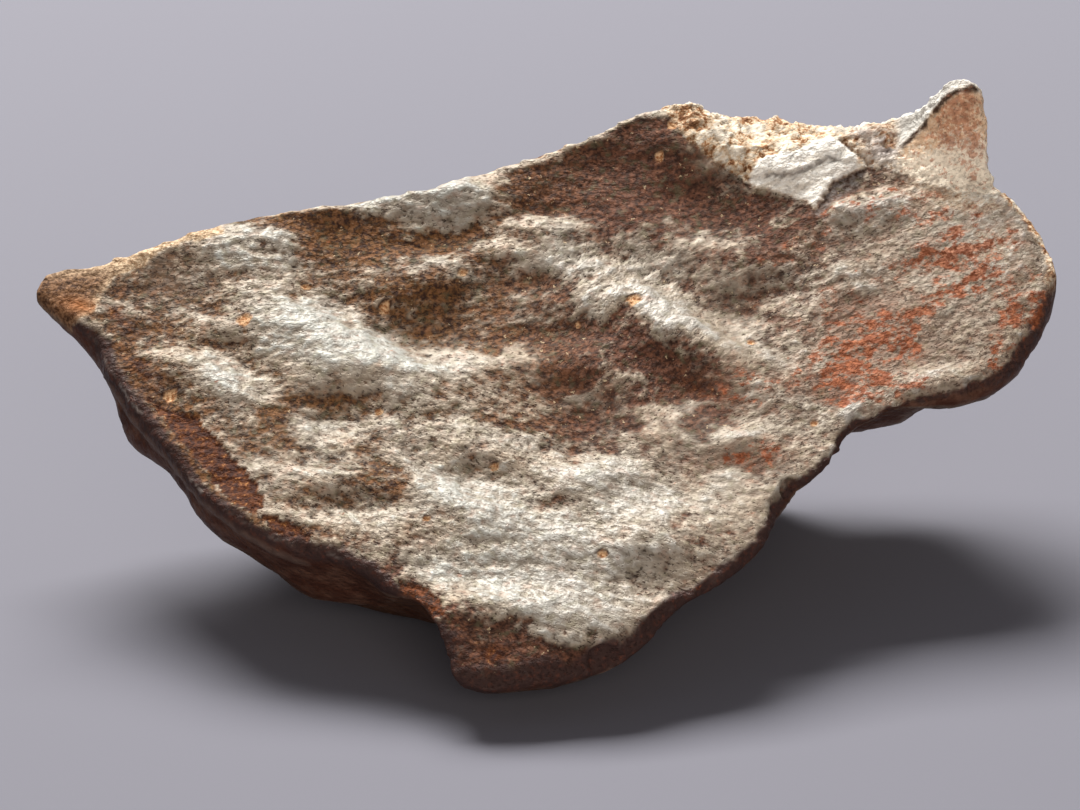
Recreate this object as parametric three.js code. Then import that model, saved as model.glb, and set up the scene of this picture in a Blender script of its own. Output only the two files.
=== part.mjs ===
// A chondrite meteorite: one crusted stone, broken to a thick flake. Its broad front face is
// dimpled all over, its walls are thin, its underside narrows to a keel with a small flat spot
// that it rests on, and one upper corner is chipped beside a short horn.
//
// Millimetres, +Z up, +X along the stone's length, +Y from the front face to the back.
// The origin is under the middle of the stone, on the surface that it rests on.
//
// The stone is worked out in the front face's own directions, and turned upright at the end:
// "across" runs along +X, "up" runs up the slope of the face, and "out" stands out of the face.

import * as THREE from 'three';

// Driving dimensions
const faceLean = 24;            // degrees that the front face rises towards the back
const faceHeight = 18.4;        // the face's middle above the resting surface
const cell = 1.56;              // spacing of the grid that the surface is drawn on
const gridStart = [-46.2, -33.9, -26.2];
const gridSteps = [60, 44, 25];
const bellyRound = 5;           // rounding between the broad facets of the underside
const skirtRound = 1.4;         // rounding where the walls meet the underside

// The rim of the front face, clockwise from the left tip: across, up.
const rim = [
  [-43.8, 10], [-43.2, 11.7], [-41.5, 12.9], [-38.4, 13.1], [-34, 14.7], [-30, 16.6], [-25.6, 18.7],
  [-21.4, 19.3], [-17.4, 19.5], [-13, 20], [-9.2, 20.5], [-7, 22.3], [-4, 23.3], [1.2, 25.2],
  [5.2, 27], [9.1, 28.8], [12.4, 29.6], [15.6, 29.9], [21, 29.8], [24.6, 28.9], [27.2, 28.4],
  [31.4, 28.4], [33.9, 28.2], [35.1, 28.6], [37.8, 28.8], [38.6, 27.2], [38.9, 24.7], [39.1, 22.6],
  [39.9, 21.3], [41.6, 19.5], [43.7, 15.3], [44.4, 12.2], [43.4, 8.8], [42, 5.6], [40.2, 2.7],
  [38, 0.5], [35.4, -0.7], [32.8, -1.7], [30.4, -2.7], [27.1, -4.6], [25.3, -6.9], [24.1, -9.3],
  [21.3, -11], [20, -12.4], [18.9, -14.6], [18.2, -16.6], [16, -19], [14.5, -20.5],
  [12.8, -22.2], [10.9, -23.4], [8.7, -25.4], [6, -27.7], [2.6, -29.1], [-0.9, -30], [-4.9, -30.3],
  [-7.5, -29.4], [-8.8, -26.9], [-9.8, -24], [-11.8, -21.9], [-13.6, -20], [-16, -18.3],
  [-19.2, -17.1], [-22.1, -15.9], [-24.8, -14.3], [-27.3, -12.1], [-29.6, -9.2], [-31.7, -5.8],
  [-34.3, -2.1], [-36.9, 2.2], [-38.2, 5.2], [-40.2, 6.8], [-42.2, 8.8],
];

// How the wall goes below the rim, around the stone: where, over what reach, how round its upper
// edge is, how deep it goes straight down, and how far it then leans in for each millimetre down.
const walls = [
  { at: [-27, -9], reach: 13, round: 0.8, deep: 9, lean: 0.6 },     // left wall
  { at: [-42, 9], reach: 5, round: 1.3, deep: 1.3, lean: 1 },       // left tip
  { at: [-10, -24.5], reach: 4, round: 0.8, deep: 0.3, lean: 1.1 }, // beside the lobe
  { at: [0, -30], reach: 7, round: 4, deep: 3.2, lean: 0.95 },      // front lobe
  { at: [17, -18], reach: 9, round: 1.4, deep: 1.4, lean: 0.8 },    // lower right edge
  { at: [26, -5], reach: 8, round: 1, deep: 0.3, lean: 1.4 },       // notch
  { at: [40, 1.5], reach: 7, round: 2.2, deep: 1.8, lean: 0.8 },    // right lobe
  { at: [43, 16], reach: 7, round: 1.2, deep: 2, lean: 0.6 },       // right edge
  { at: [28, 29], reach: 9, round: 0.8, deep: 9, lean: 0.2 },       // right back
  { at: [3, 26], reach: 11, round: 0.8, deep: 9, lean: 0.2 },       // back
  { at: [-24, 18], reach: 10, round: 0.8, deep: 6, lean: 0.3 },     // left back
];

// Where the face leans: across, up, half width, half height, turn in degrees, rise.
// A positive rise lifts the face on the patch's upper side, and a negative one drops it there,
// so a dimple is a drop with a rise above it, and a swell is a rise with a drop above it.
const leans = [
  [-26, 17, 4.5, 1.7, 8, -0.9], [-21, 11.5, 3, 2.4, -50, -0.7], [-18, 7, 5, 2.4, -25, -1.5],
  [-11.5, 3, 4.5, 1.8, -25, -0.9], [-25.5, 0.5, 3, 1.6, -35, -0.9], [-7.2, 21.6, 4, 1.4, 5, -1],
  [0.8, 17.6, 3.5, 1.3, 0, -0.9], [-17.5, -8.6, 3.5, 1.4, 0, -0.9], [-17, -5.4, 2.5, 0.9, 0, -0.4],
  [-7, -11.2, 5, 1.6, -25, -0.8], [4, -8.4, 4, 1.7, 0, -0.8], [9.5, -13, 5, 2.6, 0, -0.9],
  [-4.5, -21.3, 6, 1.7, 0, -1.1], [16.5, -4.8, 2, 1.1, 0, -0.5], [28.5, 20.3, 4, 1.5, 0, -0.7],
  [33.5, 1.6, 3, 1.3, 10, -0.7], [10, -3, 2, 1.6, 0, -0.5], [-31.5, 3.6, 3, 1.2, -10, -0.5],
  [15.5, 15.8, 4, 1.6, 0, -0.5], [-4, 3.4, 4, 1.7, 0, -0.6], [-32.5, 12.5, 3.5, 2.8, 20, 0.9],
  [-18.5, 18, 4.5, 1.7, -5, 1], [-8.5, 17.6, 4.5, 1.7, -5, 1], [-9.5, 9, 5, 2.2, 15, 1.7],
  [-3.5, 12.6, 4, 1.5, -10, 0.8], [5, 26, 6, 2.6, 20, 1.2], [13.5, 23, 5, 2.6, -10, 1.9],
  [21, 21, 3, 1.6, 0, 0.8], [-26.5, 5, 2.6, 1.1, 0, 0.5], [-31, 0.6, 2.6, 1.7, -30, 0.7],
  [-17.5, -1.2, 3.6, 2, 0, 1.3], [2.5, 7.4, 3.6, 1.5, -10, 0.7], [4, -0.5, 4, 2.8, -20, 1.7],
  [12, 2, 4.6, 2, -35, 1.5], [18.5, 11, 4.2, 1.7, 25, 1], [24, 16.5, 3.5, 1.4, 35, 0.7],
  [-5, -8.4, 3.5, 1.1, 0, 0.6], [-15.5, -11.6, 4, 1.1, 0, 0.6], [3, -12.4, 3, 1, -40, 0.5],
  [8.8, -18.8, 4, 1.7, 0, 1], [-5, -25.6, 3.6, 1.5, 0, 0.6], [15.5, -7.4, 3, 1.2, 0, 0.5],
  [27, 11, 4, 1.6, 20, 0.4], [11, 8.8, 9, 2.2, -36, -1.3], [33.5, 14, 3.5, 1.4, 25, 0.4],
  [33, 7, 4, 1.6, 20, 0.4],
];

// The horn at the upper right corner.
const hornAt = [36.9, 28.3];
const hornReach = [3.5, 4.6];
const hornRise = 4.3;
const hornBlunt = 2.6;

// The chip beside the horn, where the crust broke away: the face falls to the back of this line.
const chipLeft = [12.6, 29.5];
const chipMiddle = [18.2, 24.6];
const chipRight = [29, 27];
const chipStep = 0.5;           // the crust's broken edge
const chipStepRun = 1.2;
const chipSlope = 0.34;

// The broad facets of the back and underside: a point on each, and the way that it faces.
const facets = [
  { at: [-41.5, 8, -2.2], faces: [-0.602, -0.324, -0.73] },         // left underside
  { at: [40, 0, -2.9], faces: [0.568, -0.578, -0.585] },            // right underside
  { at: [-2, -30, -6.2], faces: [0.05, -0.45, -0.89] },             // front underside
  { at: [-8, 24, -7.5], faces: [-0.3, 0.65, -0.7] },                // lower back
  { at: [12, 28, -9], faces: [0.14, 0.55, -0.82] },                 // right back
  { at: [5, 28.5, -1], faces: [-0.2, 0.93, -0.3] },                 // top bevel
  { at: [0, 2, -23.2], faces: [0, -0.407, -0.914] },                // keel
];

// Thumbprints in the walls, back and underside: centre, radius, depth. A negative depth is a lump.
const thumbprints = [
  { at: [-14.5, -21.5, -9.5], radius: 8, depth: 4.2 },
  { at: [-22, -18, -6], radius: 6, depth: 0.8 },
  { at: [-34.5, -1.5, -4.5], radius: 5, depth: -1 },
  { at: [-30, 8, -9], radius: 8, depth: 1.4 },
  { at: [-22, 16, -9], radius: 8, depth: 1.3 },
  { at: [-8, 20, -14], radius: 8, depth: 1.5 },
  { at: [4, 24, -10], radius: 7, depth: 1.2 },
  { at: [18, 22, -12], radius: 8, depth: 1.6 },
  { at: [31, 22, -6], radius: 7, depth: 1.2 },
  { at: [27, 6, -12], radius: 8, depth: 1.4 },
  { at: [36, 14, -6], radius: 7, depth: 1.2 },
  { at: [16, -8, -13], radius: 7, depth: 1.2 },
  { at: [-22, -4, -14], radius: 8, depth: 1.4 },
];

// Long uneven waves over the walls, back and underside: which way each runs, how long it is,
// how deep, and where it starts.
const waves = [
  { runs: [0.7, 0.7, 0.15], long: 10.6, deep: 0.21, start: 0.5 },
  { runs: [0.64, -0.64, 0.42], long: 9.7, deep: 0.21, start: 0.9 },
  { runs: [0, 0.8, 0.6], long: 8.8, deep: 0.17, start: 2.1 },
  { runs: [0.53, 0, -0.85], long: 8.4, deep: 0.17, start: 0.7 },
];

const faceRise = [0.3, 0.05, 0.0036];   // the face stands out more towards its upper edge
const printFade = 5;            // waves and thumbprints are at full depth this far below the rim
const cornerWear = 0.45;        // how fast the rim's corners even out on the way down
const cornerWearMost = 4;
const wallShare = [0.01, 4];    // how sharply one stretch of wall gives way to the next

const degree = Math.PI / 180;

function smoothStep(start, end, value) {
  const t = Math.min(Math.max((value - start) / (end - start), 0), 1);
  return t * t * (3 - 2 * t);
}

// The larger of two values, blended over a width so that the edge between them is round.
function roundMax(a, b, width) {
  const overlap = Math.max(width - Math.abs(a - b), 0) / width;
  return Math.max(a, b) + overlap * overlap * width / 4;
}

function distanceToSegment(across, up, start, end) {
  const run = [end[0] - start[0], end[1] - start[1]];
  const from = [across - start[0], up - start[1]];
  const along = (from[0] * run[0] + from[1] * run[1]) / (run[0] ** 2 + run[1] ** 2);
  const t = Math.min(Math.max(along, 0), 1);
  return Math.hypot(from[0] - run[0] * t, from[1] - run[1] * t);
}

// Distance outside the rim, negative inside it.
function outsideRim(across, up) {
  let nearest = Infinity;
  let inside = false;
  for (let i = 0, j = rim.length - 1; i < rim.length; j = i++) {
    const [ax, ay] = rim[i];
    const [bx, by] = rim[j];
    nearest = Math.min(nearest, distanceToSegment(across, up, rim[i], rim[j]));
    if ((ay > up) !== (by > up) && across < (bx - ax) * (up - ay) / (by - ay) + ax) {
      inside = !inside;
    }
  }
  return inside ? -nearest : nearest;
}

function leanHeight(across, up, [atAcross, atUp, halfWidth, halfHeight, turn, rise]) {
  const c = Math.cos(turn * degree);
  const s = Math.sin(turn * degree);
  const x = ((across - atAcross) * c + (up - atUp) * s) / halfWidth;
  const y = ((up - atUp) * c - (across - atAcross) * s) / halfHeight;
  return 0.5 * rise * y * Math.exp((1 - y * y) / 2 - x * x);
}

// How far a point lies to the back of a line, for the chip's two edges.
function beyondLine(across, up, start, end) {
  const run = [end[0] - start[0], end[1] - start[1]];
  const length = Math.hypot(run[0], run[1]);
  return ((up - start[1]) * run[0] - (across - start[0]) * run[1]) / length;
}

function chipDrop(across, up) {
  const left = beyondLine(across, up, chipLeft, chipMiddle);
  const right = beyondLine(across, up, chipMiddle, chipRight);
  const beyond = Math.max(Math.min(left, right), 0);
  return chipStep * smoothStep(0, chipStepRun, beyond) + chipSlope * beyond;
}

// How far the front face stands out at a place on it.
function faceOut(across, up) {
  let out = faceRise[0] + faceRise[1] * up + faceRise[2] * Math.max(up, 0) ** 2;
  for (const lean of leans) {
    out += leanHeight(across, up, lean);
  }
  out -= chipDrop(across, up);
  const x = (across - hornAt[0]) / hornReach[0];
  const y = (up - hornAt[1]) / hornReach[1];
  return out + hornRise * Math.exp(-(Math.hypot(x, y) ** hornBlunt));
}

// How far a place lies outside the broad facets of the back and underside.
function outsideFacets(across, up, out) {
  const gaps = facets.map(({ at, faces }) => (
    (across - at[0]) * faces[0] + (up - at[1]) * faces[1] + (out - at[2]) * faces[2]
  ));
  return gaps.reduce((most, gap) => roundMax(most, gap, bellyRound));
}

// How deep the waves and thumbprints go at a place. They fade out towards the rim.
function printDepth(across, up, out) {
  let depth = 0;
  for (const { runs, long, deep, start } of waves) {
    const along = across * runs[0] + up * runs[1] + out * runs[2];
    depth += deep * Math.sin(2 * Math.PI * along / long + start);
  }
  for (const print of thumbprints) {
    const [atAcross, atUp, atOut] = print.at;
    const away = Math.hypot(across - atAcross, up - atUp, out - atOut) / print.radius;
    depth += print.depth * Math.exp(-2 * away * away);
  }
  return depth * smoothStep(0, printFade, -out);
}

// Distance outside the rim, taken as the mean of six places around this one, which evens out
// the rim's corners over a width that grows on the way down.
function outsideWall(across, up, out) {
  const width = Math.min(Math.max(-out, 0) * cornerWear, cornerWearMost);
  if (width === 0) {
    return outsideRim(across, up);
  }
  let sum = 0;
  for (let turn = 0; turn < 360; turn += 60) {
    const x = across + width * Math.cos(turn * degree);
    const y = up + width * Math.sin(turn * degree);
    sum += outsideRim(x, y) / 6;
  }
  return sum;
}

// The wall's make at a place, blended from the stretches of wall near it.
function wallAt(across, up) {
  const blend = { round: 0, deep: 0, lean: 0 };
  let total = 0;
  for (const { at, reach, ...make } of walls) {
    const away = Math.hypot(across - at[0], up - at[1]) / reach;
    const share = 1 / (wallShare[0] + away ** wallShare[1]);
    for (const key of Object.keys(blend)) {
      blend[key] += share * make[key];
    }
    total += share;
  }
  return { round: blend.round / total, deep: blend.deep / total, lean: blend.lean / total };
}

// The whole stone: negative inside it, positive outside, near zero at its surface.
function stoneField(across, up, out) {
  const { round, deep, lean } = wallAt(across, up);
  const face = out - faceOut(across, up);
  const wall = outsideWall(across, up, out) + lean * Math.max(-out - deep, 0);
  const below = roundMax(wall, outsideFacets(across, up, out), skirtRound);
  return roundMax(face, below + printDepth(across, up, out), round);
}

// The steepest way out of a field, per millimetre.
function slopeOf(field, [x, y, z]) {
  const step = 0.05;
  return new THREE.Vector3(
    field(x + step, y, z) - field(x - step, y, z),
    field(x, y + step, z) - field(x, y - step, z),
    field(x, y, z + step) - field(x, y, z - step),
  ).divideScalar(2 * step);
}

// The point of a cube that lies best on the tangent planes of all the places where the surface
// crosses its edges, so that an edge of the stone stays an edge.
function bestPoint(crossings, field, reach) {
  const middle = new THREE.Vector3();
  crossings.forEach((place) => middle.add(new THREE.Vector3(...place)));
  middle.divideScalar(crossings.length);
  const pull = 0.08;   // holds the point near the middle where the planes are nearly one
  const sums = [pull, 0, 0, pull, 0, pull];
  const offset = new THREE.Vector3();
  for (const place of crossings) {
    const normal = slopeOf(field, place).normalize();
    const { x, y, z } = normal;
    [x * x, x * y, x * z, y * y, y * z, z * z].forEach((value, i) => { sums[i] += value; });
    const gap = new THREE.Vector3(...place).sub(middle).dot(normal);
    offset.addScaledVector(normal, gap);
  }
  const [xx, xy, xz, yy, yz, zz] = sums;
  const planes = new THREE.Matrix3().set(xx, xy, xz, xy, yy, yz, xz, yz, zz).invert();
  offset.applyMatrix3(planes).clampScalar(-reach, reach);
  return middle.add(offset);
}

// Where the four corners of a grid square lie in and out by turns, the surface would touch itself
// there, so the corner nearest to the surface changes sides.
function openSaddles(values, nx, ny, nz) {
  const steps = [1, nx, nx * ny];
  const tiny = 1e-3;
  let found = true;
  while (found) {
    found = false;
    for (let at = 0; at < values.length - steps[1] - steps[2] - 1; at++) {
      for (const [a, b] of [[steps[0], steps[1]], [steps[1], steps[2]], [steps[0], steps[2]]]) {
        const square = [at, at + a, at + a + b, at + b];
        const inside = square.map((corner) => values[corner] < 0);
        if (inside[0] !== inside[2] || inside[1] !== inside[3] || inside[0] === inside[1]) continue;
        square.sort((m, n) => Math.abs(values[m]) - Math.abs(values[n]));
        values[square[0]] = values[square[0]] < 0 ? tiny : -tiny;
        found = true;
      }
    }
  }
}

// Draws the surface where a field crosses zero on a grid of cubes, with one point in each cube
// that the surface passes through and one four-sided patch across each grid edge it crosses.
function drawSurface(field, start, steps, size) {
  const [nx, ny, nz] = steps.map((n) => n + 1);
  const sample = (i, j, k) => (k * ny + j) * nx + i;
  const place = (i, j, k) => [start[0] + i * size, start[1] + j * size, start[2] + k * size];
  const values = new Float64Array(nx * ny * nz);
  for (let k = 0; k < nz; k++) {
    for (let j = 0; j < ny; j++) {
      for (let i = 0; i < nx; i++) {
        values[sample(i, j, k)] = field(...place(i, j, k));
      }
    }
  }

  openSaddles(values, nx, ny, nz);

  const corners = [[0, 0, 0], [1, 0, 0], [0, 1, 0], [1, 1, 0], [0, 0, 1], [1, 0, 1], [0, 1, 1], [1, 1, 1]];
  const edges = [
    [0, 1], [2, 3], [4, 5], [6, 7], [0, 2], [1, 3], [4, 6], [5, 7], [0, 4], [1, 5], [2, 6], [3, 7],
  ];
  const points = [];
  const pointOf = new Int32Array(nx * ny * nz).fill(-1);
  for (let k = 0; k < nz - 1; k++) {
    for (let j = 0; j < ny - 1; j++) {
      for (let i = 0; i < nx - 1; i++) {
        const at = corners.map(([a, b, c]) => values[sample(i + a, j + b, k + c)]);
        const crossings = [];
        for (const [a, b] of edges) {
          if ((at[a] < 0) === (at[b] < 0)) continue;
          const t = at[a] / (at[a] - at[b]);
          const [x, y, z] = corners[a].map((value, axis) => value + t * (corners[b][axis] - value));
          crossings.push(place(i + x, j + y, k + z));
        }
        if (crossings.length === 0) continue;
        pointOf[sample(i, j, k)] = points.length;
        points.push(bestPoint(crossings, field, size / 2).toArray());
      }
    }
  }

  const triangles = [];
  const addPatch = (a, b, c, d, flip) => {
    const [p, q, r, s] = flip ? [d, c, b, a] : [a, b, c, d];
    const span = (m, n) => Math.hypot(...points[m].map((value, axis) => value - points[n][axis]));
    if (span(p, r) < span(q, s)) {
      triangles.push(p, q, r, p, r, s);
    } else {
      triangles.push(q, r, s, q, s, p);
    }
  };
  for (let k = 1; k < nz - 1; k++) {
    for (let j = 1; j < ny - 1; j++) {
      for (let i = 1; i < nx - 1; i++) {
        const here = values[sample(i, j, k)] < 0;
        const cellPoint = (a, b, c) => pointOf[sample(i - a, j - b, k - c)];
        if (here !== values[sample(i + 1, j, k)] < 0) {
          addPatch(cellPoint(0, 0, 0), cellPoint(0, 1, 0), cellPoint(0, 1, 1), cellPoint(0, 0, 1), !here);
        }
        if (here !== values[sample(i, j + 1, k)] < 0) {
          addPatch(cellPoint(0, 0, 0), cellPoint(0, 0, 1), cellPoint(1, 0, 1), cellPoint(1, 0, 0), !here);
        }
        if (here !== values[sample(i, j, k + 1)] < 0) {
          addPatch(cellPoint(0, 0, 0), cellPoint(1, 0, 0), cellPoint(1, 1, 0), cellPoint(0, 1, 0), !here);
        }
      }
    }
  }
  return { points, triangles };
}

// Turns a place on the stone upright. What would reach below the resting surface is worn flat.
function standUp([across, up, out]) {
  const c = Math.cos(faceLean * degree);
  const s = Math.sin(faceLean * degree);
  return [across, up * c - out * s, Math.max(up * s + out * c + faceHeight, 0)];
}

function makeStone() {
  const { points, triangles } = drawSurface(stoneField, gridStart, gridSteps, cell);
  const upright = points.map(standUp);
  const geometry = new THREE.BufferGeometry();
  geometry.setAttribute('position', new THREE.Float32BufferAttribute(upright.flat(), 3));
  geometry.setIndex(triangles);
  geometry.computeBoundingBox();
  const middle = geometry.boundingBox.getCenter(new THREE.Vector3());
  geometry.translate(-middle.x, -middle.y, 0);
  geometry.computeVertexNormals();
  const crust = new THREE.MeshStandardMaterial({ color: 0x6b6259, roughness: 0.5, metalness: 0.2 });
  const stone = new THREE.Mesh(geometry, crust);
  stone.name = 'meteorite';
  return stone;
}

const meteorite = new THREE.Group();
meteorite.add(makeStone());

export default meteorite;
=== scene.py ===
# A chondrite meteorite: one flake of crusted stone with a dimpled front face, a dark wall on its
# left, a broken pale corner and a short horn.
#
# Places on the stone are in millimetres along its front face, from the middle of the face:
# across runs to the right, up runs up the slope of the face, out stands away from it.

import math

import bmesh
import bpy
import numpy as np
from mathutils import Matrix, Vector, kdtree, noise


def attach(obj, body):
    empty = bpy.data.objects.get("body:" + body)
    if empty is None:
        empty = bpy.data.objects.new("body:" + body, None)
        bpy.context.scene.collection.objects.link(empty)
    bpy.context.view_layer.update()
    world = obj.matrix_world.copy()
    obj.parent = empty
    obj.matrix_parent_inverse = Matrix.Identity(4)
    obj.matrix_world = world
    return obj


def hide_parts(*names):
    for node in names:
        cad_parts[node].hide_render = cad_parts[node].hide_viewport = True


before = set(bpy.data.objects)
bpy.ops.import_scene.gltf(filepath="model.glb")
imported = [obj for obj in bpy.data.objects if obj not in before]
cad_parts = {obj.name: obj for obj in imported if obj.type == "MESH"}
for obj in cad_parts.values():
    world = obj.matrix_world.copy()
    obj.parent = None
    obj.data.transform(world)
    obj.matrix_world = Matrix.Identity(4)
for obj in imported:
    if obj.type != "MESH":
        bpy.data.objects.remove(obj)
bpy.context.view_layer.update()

mm = 0.001

face = {
    "lean": math.radians(24),         # the face rises this much towards the back
    "middle": (-0.2, -1.0, 18.4),     # mm, in the frame of the whole part
}
leanCos, leanSin = math.cos(face["lean"]), math.sin(face["lean"])


def turnToFace(ways):
    # directions in the part's frame to across, up and out
    x, y, z = ways.T
    return np.stack([x, y * leanCos + z * leanSin, z * leanCos - y * leanSin], axis=1)


def toFace(points):
    # metres in the part's frame to millimetres along the face
    return turnToFace(points / mm - np.array(face["middle"]))


def fromFace(places):
    x, y, z = places.T
    upright = np.stack([x, y * leanCos - z * leanSin, y * leanSin + z * leanCos], axis=1)
    return (upright + np.array(face["middle"])) * mm


def ease(start, end, value):
    t = np.clip((value - start) / (end - start), 0, 1)
    return t * t * (3 - 2 * t)


# the noise that everything uneven is made with
noiseMake = {
    "seedStep": 17.3,     # noises of different seeds are taken this far apart
    "fade": 1.0,          # how fast the finer octaves grow weaker
    "finer": 2.0,         # how much finer each octave is than the one before
}


def grainNoise(places, size, seed, stretch=1, turn=0, octaves=2):
    # soft noise about 0, with grains of the given size, drawn out along a direction of the face
    c, s = math.cos(math.radians(turn)), math.sin(math.radians(turn))
    x = (places[:, 0] * c + places[:, 1] * s) / (size * stretch)
    y = (places[:, 1] * c - places[:, 0] * s) / size
    z = places[:, 2] / size + seed * noiseMake["seedStep"]
    make = (noiseMake["fade"], noiseMake["finer"], octaves)
    return np.array([noise.fractal(p, *make) for p in np.stack([x, y, z], axis=1).tolist()])


def oval(places, at, reach, turn=0):
    # 1 at the middle of an oval on the face, fading to about a third at its edge
    c, s = math.cos(math.radians(turn)), math.sin(math.radians(turn))
    dx, dy = places[:, 0] - at[0], places[:, 1] - at[1]
    x, y = (dx * c + dy * s) / reach[0], (dy * c - dx * s) / reach[1]
    return np.exp(-(x * x + y * y))


def ovals(places, rows):
    # rows of across, up, half width, half height, turn, strength
    total = np.zeros(len(places))
    for across, up, wide, high, turn, strength in rows:
        total += strength * oval(places, (across, up), (wide, high), turn)
    return np.clip(total, -1, 1)


# the stone's mesh
stoneMesh = {
    "backSpacing": 0.525,         # mm between points on the back; the front has half of it
    "frontAbove": 0.05,           # a patch belongs to the front if it faces the front more than this
    "evenPasses": 14,             # rounds of smoothing that take out the facets
    "finePasses": 3,              # and that even out the finer front
    "pulls": (0.5, -0.52),        # each round smooths and then swells back by a little more
    "rimFacing": (0.45, 0.62),    # the rim is where the surface has turned this far from the face
    "rimAbove": -3,               # mm
}


def applied(obj):
    # the object's mesh with its modifiers worked in
    shown = obj.evaluated_get(bpy.context.evaluated_depsgraph_get())
    mesh = bpy.data.meshes.new_from_object(shown)
    obj.modifiers.clear()
    obj.data = mesh
    return mesh


def readPoints(mesh):
    flat = np.empty(len(mesh.vertices) * 3)
    mesh.vertices.foreach_get("co", flat)
    return flat.reshape(-1, 3)


def writePoints(mesh, points):
    mesh.vertices.foreach_set("co", points.astype(np.float32).ravel())
    mesh.update()


def readNormals(mesh):
    flat = np.empty(len(mesh.vertices) * 3, np.float32)
    mesh.vertex_normals.foreach_get("vector", flat)
    return flat.reshape(-1, 3).astype(float)


def meanOfNeighbours(mesh):
    # gives a function that takes values at the points to the mean over each point's neighbours
    ends = np.empty(len(mesh.edges) * 2, np.int32)
    mesh.edges.foreach_get("vertices", ends)
    a, b = ends.reshape(-1, 2).T
    count = np.bincount(ends, minlength=len(mesh.vertices))

    def mean(values):
        values = values.reshape(len(count), -1)
        total = np.empty_like(values)
        for k in range(values.shape[1]):
            total[:, k] = np.bincount(a, values[b, k], len(count))
            total[:, k] += np.bincount(b, values[a, k], len(count))
        return total / count[:, None]

    return mean


def evenOut(mesh, passes):
    # smoothing that keeps the stone's size
    points = readPoints(mesh)
    mean = meanOfNeighbours(mesh)
    for _ in range(passes):
        for pull in stoneMesh["pulls"]:
            points = points + pull * (mean(points) - points)
    writePoints(mesh, points)


def smoothShading(mesh):
    for polygon in mesh.polygons:
        polygon.use_smooth = True


def fineStone():
    stone = bpy.data.objects.new("stone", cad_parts["meteorite"].data.copy())
    bpy.context.scene.collection.objects.link(stone)
    remesh = stone.modifiers.new("remesh", "REMESH")
    remesh.mode = "VOXEL"
    remesh.voxel_size = stoneMesh["backSpacing"] * mm
    mesh = applied(stone)
    evenOut(mesh, stoneMesh["evenPasses"])

    outward = Vector((0, -leanSin, leanCos))
    shape = bmesh.new()
    shape.from_mesh(mesh)
    front = [f for f in shape.faces if f.normal.dot(outward) > stoneMesh["frontAbove"]]
    edges = {e for f in front for e in f.edges}
    bmesh.ops.subdivide_edges(shape, edges=list(edges), cuts=1, use_grid_fill=True)
    shape.to_mesh(mesh)
    shape.free()
    evenOut(mesh, stoneMesh["finePasses"])
    triangles = sum(len(p.vertices) - 2 for p in mesh.polygons)
    print("stone:", len(mesh.vertices), "points,", triangles, "triangles")
    return stone


def rimDistance(places, facing):
    # how far each point is from the edge between the front face and the walls
    least, most = stoneMesh["rimFacing"]
    onEdge = (facing > least) & (facing < most) & (places[:, 2] > stoneMesh["rimAbove"])
    edge = np.flatnonzero(onEdge)
    tree = kdtree.KDTree(len(edge))
    for i, spot in enumerate(places[edge]):
        tree.insert(spot, i)
    tree.balance()
    return np.array([tree.find(p)[2] for p in places])


# relief: what stands out of the smooth stone, and what is broken off; lengths in mm
relief = {
    "patch": 0.16,               # dull brown crust lies low, polished crust stands proud
    "thumbTop": 0.10,            # between the dents of the back the ground rises no higher
    "rippleLoss": 0.7,           # the broken corner has this much less of the crust's wrinkles
    "grainLoss": 0.6,            # and the pale facet less of its grain
    "fineOnWalls": 0.6,          # share of the fine relief on the walls and back
    "hornSmooth": 0.6,           # the horn is this much less crumbly than the corner
    "step": 0.16,                # the upper half of the facet stands this much prouder
    "hollow": 0.26,              # depth of the grey hollow beside the facet
    "crack": 0.12,
    "scar": 0.20,                # depth of the flakes off the left rim
    "layer": (0.5, 0.10, 3),     # thin layers across the smooth pale facet: size, height, seed
    "layerTurn": 29,             # degrees
    "layerStretch": 4,
    "hornRidge": 0.22,           # the sharp ridge over the front of the horn
    "groove": (0.26, 0.36),      # half width and depth of the groove beside the facet
    "spot": 0.16,                # depth of the rusty spots
    "ledge": (0.40, 0.16),       # half width and height of the ledge on the left wall
    "brokenSlant": 0.9,          # below slantBelow the edges of broken places run to the right,
    "slantBelow": 3,             # by this much for each millimetre down
    "tipDrop": 0.12,             # how soon the broken tip ends below the face
    "chunkShares": (0.6, 0.4),   # of large and small chunks in the colour of broken stone
    "slopeShadePasses": 16,         # rounds of averaging that find ground turned down the slope, for painted shade
    "creasePasses": 8,           # and creases
}

# unevenness: size, height, seed, octaves
unevenness = {
    "swell": (6.0, 0.13, 4, 2),          # all over
    "thumb": (7.5, 0.5, 24, 2),          # broad dents on the back and underside
    "ragged": (1.1, 0.4, 3, 2),          # the edges of what broke off
    "fineRagged": (0.5, 0.12, 17, 2),
    "behindRim": (5, 4, 18, 4),          # how far those edges wander behind the rim
    "turned": (3.5, 0.25, 19, 4),        # how unevenly they end on the walls
    "wall": (1.6, 0.06, 31, 2),          # the edges of stains
    "band": (1.6, 0.5, 33, 2),
    "edgeHighlight": (3.0, 1, 35, 2),
    "wornRim": (1.2, 0.35, 36, 2),
    "wornTop": (2.4, 1, 38, 2),
    "warm": (3.5, 0.5, 37, 3),
}

# the same, drawn out along the flow of the crust: size, height, seed, stretch
flowing = {
    "dent": (2.6, 0.13, 7, 1.6),         # shallow dents between the swells
    "ripple": (1.2, 0.12, 5, 1.4),       # wrinkles of the crust
    "grain": (0.62, 0.065, 12, 1.25),
}

# the chunks of broken stone: size, height, seed
chunks = {
    "large": (1.3, 0.26, 3),
    "small": (0.5, 0.13, 4),
}

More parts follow.
